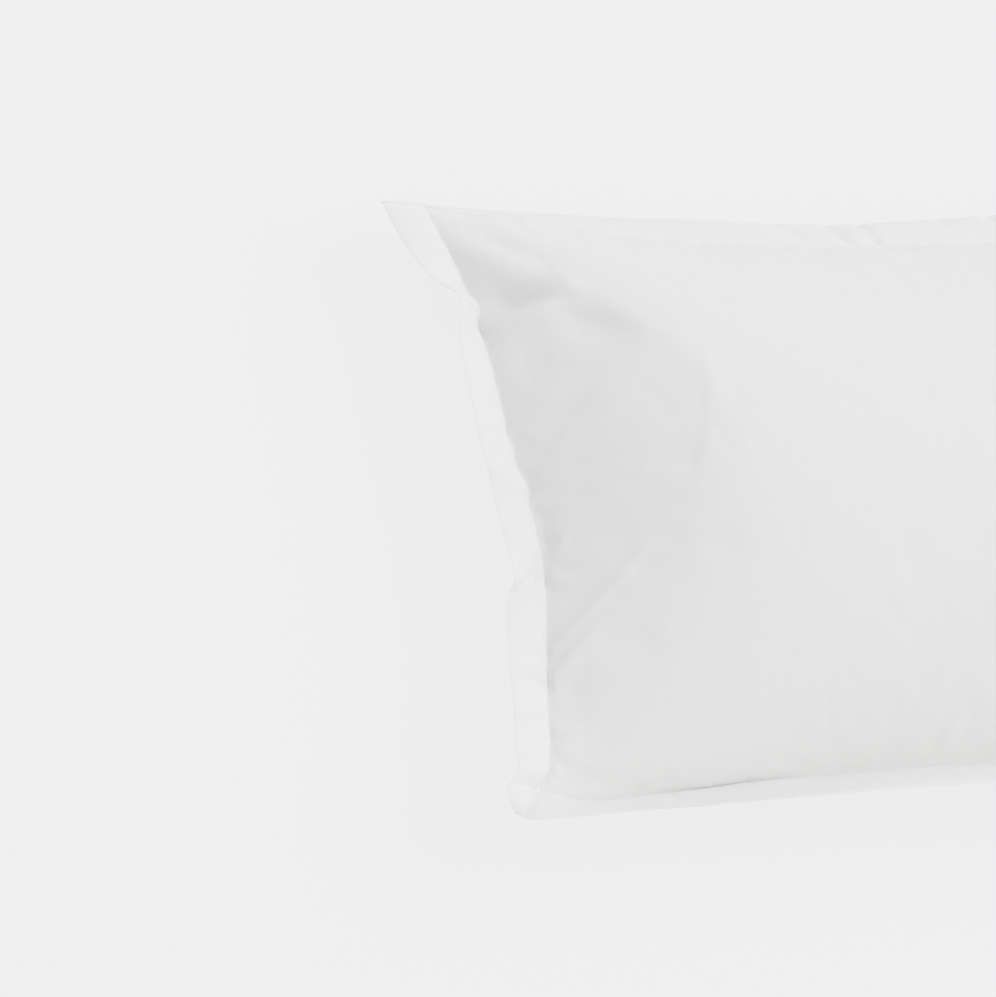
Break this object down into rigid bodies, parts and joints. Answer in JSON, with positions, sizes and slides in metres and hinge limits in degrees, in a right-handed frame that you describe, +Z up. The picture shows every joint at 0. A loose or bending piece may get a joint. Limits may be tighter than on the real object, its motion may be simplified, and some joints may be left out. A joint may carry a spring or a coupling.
{
  "type": "pillow sham",
  "caption": "Filled white pillow sham with a crowned face, drawn-in sides and a flat stitched flange all round, lying on its back.",
  "frame": {"origin": "on the surface that the sham lies on, under the middle of its outline", "axes": "+X along the width, +Y towards the top edge, +Z up out of the face"},
  "size_m": [0.8296, 0.5704, 0.1596],
  "materials": {
    "white_percale": "matt fine plain weave"
  },
  "bodies": {
    "root": {"sham": "white_percale"}
  },
  "joints": []
}
